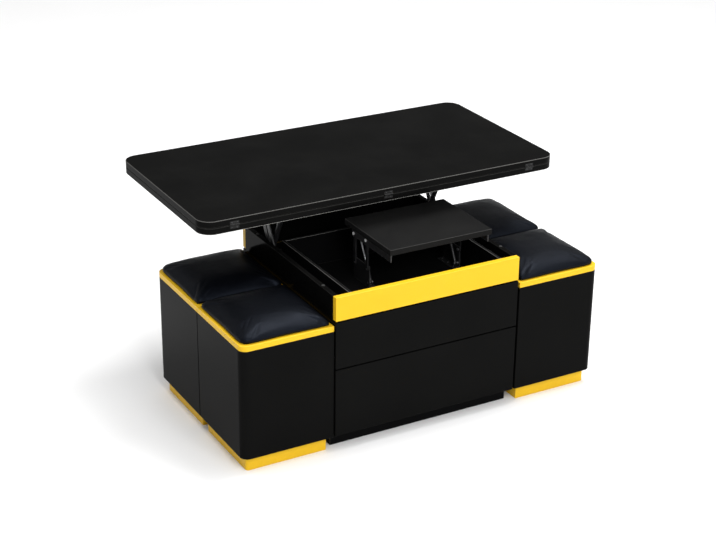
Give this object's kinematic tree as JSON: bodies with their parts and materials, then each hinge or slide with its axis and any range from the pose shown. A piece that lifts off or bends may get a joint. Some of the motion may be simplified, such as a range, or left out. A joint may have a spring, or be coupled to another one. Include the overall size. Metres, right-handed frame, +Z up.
{
  "type": "convertible coffee dining table",
  "caption": "Low cabinet table whose folded double top lifts back and flips open into a dining table, with drawers, a lifting tray in an open well, and padded stools parked at its ends.",
  "frame": {"origin": "on the floor under the middle of the cabinet, in the underside of the plinth's middle rail", "axes": "+Z up, +X along the length of the top to the right as the drawers are faced, drawers open to -Y"},
  "size_m": [1.2085, 0.8521, 0.6809],
  "materials": {
    "black_lacquer": "satin black lacquer on board",
    "gold_lacquer": "gloss golden yellow lacquer on board",
    "black_board": "matt black faced board",
    "black_leather": "soft black leather over foam",
    "black_steel": "black powder coat",
    "bright_steel": "zinc plated",
    "black_rubber": "soft black rubber"
  },
  "bodies": {
    "cabinet": {"left_side": "black_lacquer", "right_side": "black_lacquer", "bottom_panel": "black_board", "back_panel": "black_lacquer", "front_band": "gold_lacquer", "rear_band": "gold_lacquer", "cabinet_plinth": "black_board", "storage_floor": "black_board", "storage_left_wall": "black_board", "storage_right_wall": "black_board", "storage_rear_wall": "black_board", "top_bumpers": "black_rubber", "drawer_channels": "bright_steel", "lift_base_left": "black_steel", "lift_base_right": "black_steel", "lift_lower_pins": "bright_steel", "strut_studs": "bright_steel", "tray_foot_plates": "black_steel", "tray_lower_pins": "bright_steel"},
    "lift_rear_arms": {"lift_rear_arms": "black_steel"},
    "lift_front_arms": {"lift_front_arms": "black_steel"},
    "tabletop": {"lower_leaf": "black_lacquer", "lift_bracket_left": "black_steel", "lift_bracket_right": "black_steel", "lift_upper_pins": "bright_steel", "flip_hinge_lower_halves": "black_steel", "flip_hinge_pins": "bright_steel"},
    "flip_leaf": {"upper_leaf": "black_lacquer", "flip_hinge_upper_halves": "black_steel"},
    "strut_cylinders": {"strut_cylinders": "black_steel"},
    "strut_rods": {"strut_rods": "bright_steel"},
    "tray_strut_cylinders": {"tray_strut_cylinders": "black_steel"},
    "tray_strut_rods": {"tray_strut_rods": "bright_steel"},
    "tray_rear_arms": {"tray_rear_arms": "black_steel"},
    "tray_front_arms": {"tray_front_arms": "black_steel"},
    "tray": {"tray_board": "black_board", "tray_brackets": "black_steel", "tray_upper_pins": "bright_steel"},
    "upper_drawer": {"upper_drawer_front": "black_lacquer", "upper_drawer_box": "black_board", "upper_drawer_rails": "bright_steel"},
    "lower_drawer": {"lower_drawer_front": "black_lacquer", "lower_drawer_box": "black_board", "lower_drawer_rails": "bright_steel"},
    "stool_front_left": {"stool_front_left_plinth": "gold_lacquer", "stool_front_left_body": "black_lacquer", "stool_front_left_seat_board": "gold_lacquer", "stool_front_left_cushion": "black_leather"},
    "stool_rear_left": {"stool_rear_left_plinth": "gold_lacquer", "stool_rear_left_body": "black_lacquer", "stool_rear_left_seat_board": "gold_lacquer", "stool_rear_left_cushion": "black_leather"},
    "stool_front_right": {"stool_front_right_plinth": "gold_lacquer", "stool_front_right_body": "black_lacquer", "stool_front_right_seat_board": "gold_lacquer", "stool_front_right_cushion": "black_leather"},
    "stool_rear_right": {"stool_rear_right_plinth": "gold_lacquer", "stool_rear_right_body": "black_lacquer", "stool_rear_right_seat_board": "gold_lacquer", "stool_rear_right_cushion": "black_leather"}
  },
  "joints": [
    {"name": "lift", "type": "hinge", "parent": "cabinet", "child": "lift_rear_arms", "pos_m": [0, 0.157, 0.47], "axis": [1, 0, 0], "range_deg": [0, 118.8]},
    {"name": "lift_front", "type": "hinge", "parent": "cabinet", "child": "lift_front_arms", "pos_m": [0, 0.102, 0.425], "axis": [1, 0, 0], "range_deg": [0, 118.8]},
    {"name": "top_level", "type": "hinge", "parent": "lift_rear_arms", "child": "tabletop", "pos_m": [0, 0.23716, 0.61582], "axis": [1, 0, 0], "range_deg": [-118.8, 0]},
    {"name": "flip", "type": "hinge", "parent": "tabletop", "child": "flip_leaf", "pos_m": [0, -0.05644, 0.66052], "axis": [1, 0, 0], "range_deg": [0, 180]},
    {"name": "strut_swing", "type": "hinge", "parent": "cabinet", "child": "strut_cylinders", "pos_m": [0, 0.194, 0.41], "axis": [1, 0, 0], "range_deg": [0, 52.64]},
    {"name": "strut_stroke", "type": "slide", "parent": "strut_cylinders", "child": "strut_rods", "axis": [0, -0.4498, 0.8931], "range_m": [0, 0.12206]},
    {"name": "tray_lift", "type": "hinge", "parent": "cabinet", "child": "tray_rear_arms", "pos_m": [0, -0.0159, 0.44592], "axis": [1, 0, 0], "range_deg": [-83.5, 0]},
    {"name": "tray_lift_front", "type": "hinge", "parent": "cabinet", "child": "tray_front_arms", "pos_m": [0, -0.0889, 0.45092], "axis": [1, 0, 0], "range_deg": [-83.5, 0]},
    {"name": "tray_level", "type": "hinge", "parent": "tray_rear_arms", "child": "tray", "pos_m": [0, -0.0159, 0.53942], "axis": [1, 0, 0], "range_deg": [0, 83.5]},
    {"name": "tray_strut_swing", "type": "hinge", "parent": "cabinet", "child": "tray_strut_cylinders", "pos_m": [0, -0.0889, 0.406], "axis": [1, 0, 0], "range_deg": [-44.38, 0]},
    {"name": "tray_strut_stroke", "type": "slide", "parent": "tray_strut_cylinders", "child": "tray_strut_rods", "axis": [0, 0.48, 0.8773], "range_m": [0, 0.02133]},
    {"name": "upper_drawer_slide", "type": "slide", "parent": "cabinet", "child": "upper_drawer", "axis": [0, -1, 0], "range_m": [0, 0.4]},
    {"name": "lower_drawer_slide", "type": "slide", "parent": "cabinet", "child": "lower_drawer", "axis": [0, -1, 0], "range_m": [0, 0.4]},
    {"name": "stool_front_left_away", "type": "slide", "parent": "cabinet", "child": "stool_front_left", "axis": [-1, 0, 0], "range_m": [0, 0.4]},
    {"name": "stool_rear_left_away", "type": "slide", "parent": "cabinet", "child": "stool_rear_left", "axis": [-1, 0, 0], "range_m": [0, 0.4]},
    {"name": "stool_front_right_away", "type": "slide", "parent": "cabinet", "child": "stool_front_right", "axis": [1, 0, 0], "range_m": [0, 0.4]},
    {"name": "stool_rear_right_away", "type": "slide", "parent": "cabinet", "child": "stool_rear_right", "axis": [1, 0, 0], "range_m": [0, 0.4]}
  ],
  "couplings": [
    {"joint": "lift_front", "follows": "lift", "ratio": 1},
    {"joint": "top_level", "follows": "lift", "ratio": -1},
    {"joint": "strut_swing", "follows": "lift", "ratio": 0.44311},
    {"joint": "strut_stroke", "follows": "lift", "m_per_rad": 0.058869},
    {"joint": "tray_lift", "follows": "lift", "ratio": -0.70286},
    {"joint": "tray_lift_front", "follows": "lift", "ratio": -0.70286},
    {"joint": "tray_level", "follows": "lift", "ratio": 0.70286},
    {"joint": "tray_strut_swing", "follows": "lift", "ratio": -0.3736},
    {"joint": "tray_strut_stroke", "follows": "lift", "m_per_rad": 0.010289}
  ]
}
